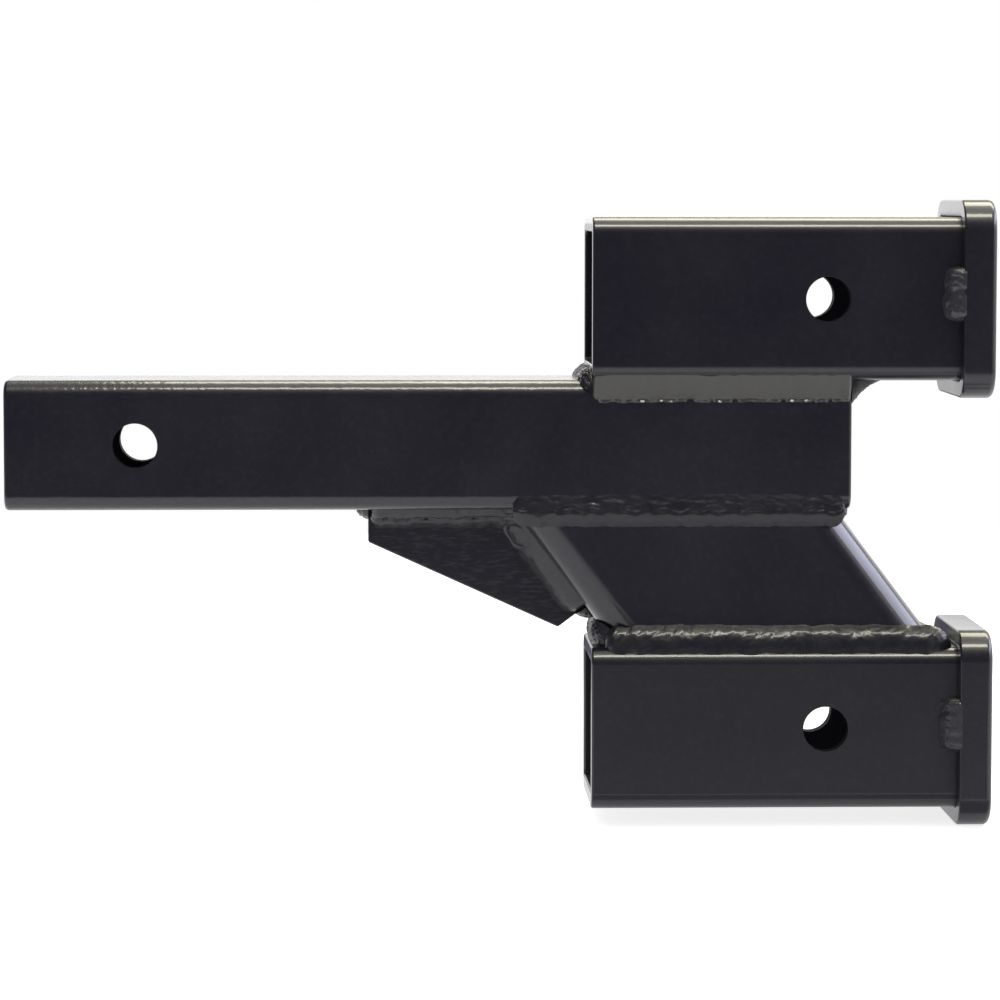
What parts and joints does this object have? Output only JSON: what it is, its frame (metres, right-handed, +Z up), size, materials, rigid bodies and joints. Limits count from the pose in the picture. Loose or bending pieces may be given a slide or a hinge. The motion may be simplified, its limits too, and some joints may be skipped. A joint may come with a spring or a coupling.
{
  "type": "dual hitch receiver",
  "caption": "Square hitch shank welded to a raised receiver and a dropped receiver, so that one vehicle hitch takes a tow bar and a carrier together.",
  "frame": {"origin": "centre of the shank's hitch pin hole", "axes": "+X along the shank towards the mouths of the receivers, +Y across along the pin holes, +Z up"},
  "size_m": [0.3846, 0.0772, 0.245],
  "materials": {
    "paint": "semi-gloss black powder coat over steel tube, with slight orange peel",
    "weld": "semi-gloss black powder coat over rippled weld metal"
  },
  "bodies": {
    "root": {"drop_bottom_weld_front": "weld", "drop_bottom_weld_left": "weld", "drop_bottom_weld_rear": "weld", "drop_bottom_weld_right": "weld", "drop_top_weld_front": "weld", "drop_top_weld_left": "weld", "drop_top_weld_rear": "weld", "drop_top_weld_right": "weld", "drop_tube": "paint", "gusset_drop_weld_left": "weld", "gusset_drop_weld_rear": "weld", "gusset_drop_weld_right": "weld", "gusset_plate": "paint", "gusset_shank_weld_front": "weld", "gusset_shank_weld_left": "weld", "gusset_shank_weld_right": "weld", "lower_collar": "paint", "lower_collar_face_weld": "weld", "lower_collar_weld_left": "weld", "lower_collar_weld_right": "weld", "lower_receiver_tube": "paint", "shank_tube": "paint", "upper_collar": "paint", "upper_collar_face_weld": "weld", "upper_collar_weld_left": "weld", "upper_collar_weld_right": "weld", "upper_receiver_tube": "paint", "upper_receiver_weld_front": "weld", "upper_receiver_weld_left": "weld", "upper_receiver_weld_rear": "weld", "upper_receiver_weld_right": "weld"}
  },
  "joints": []
}
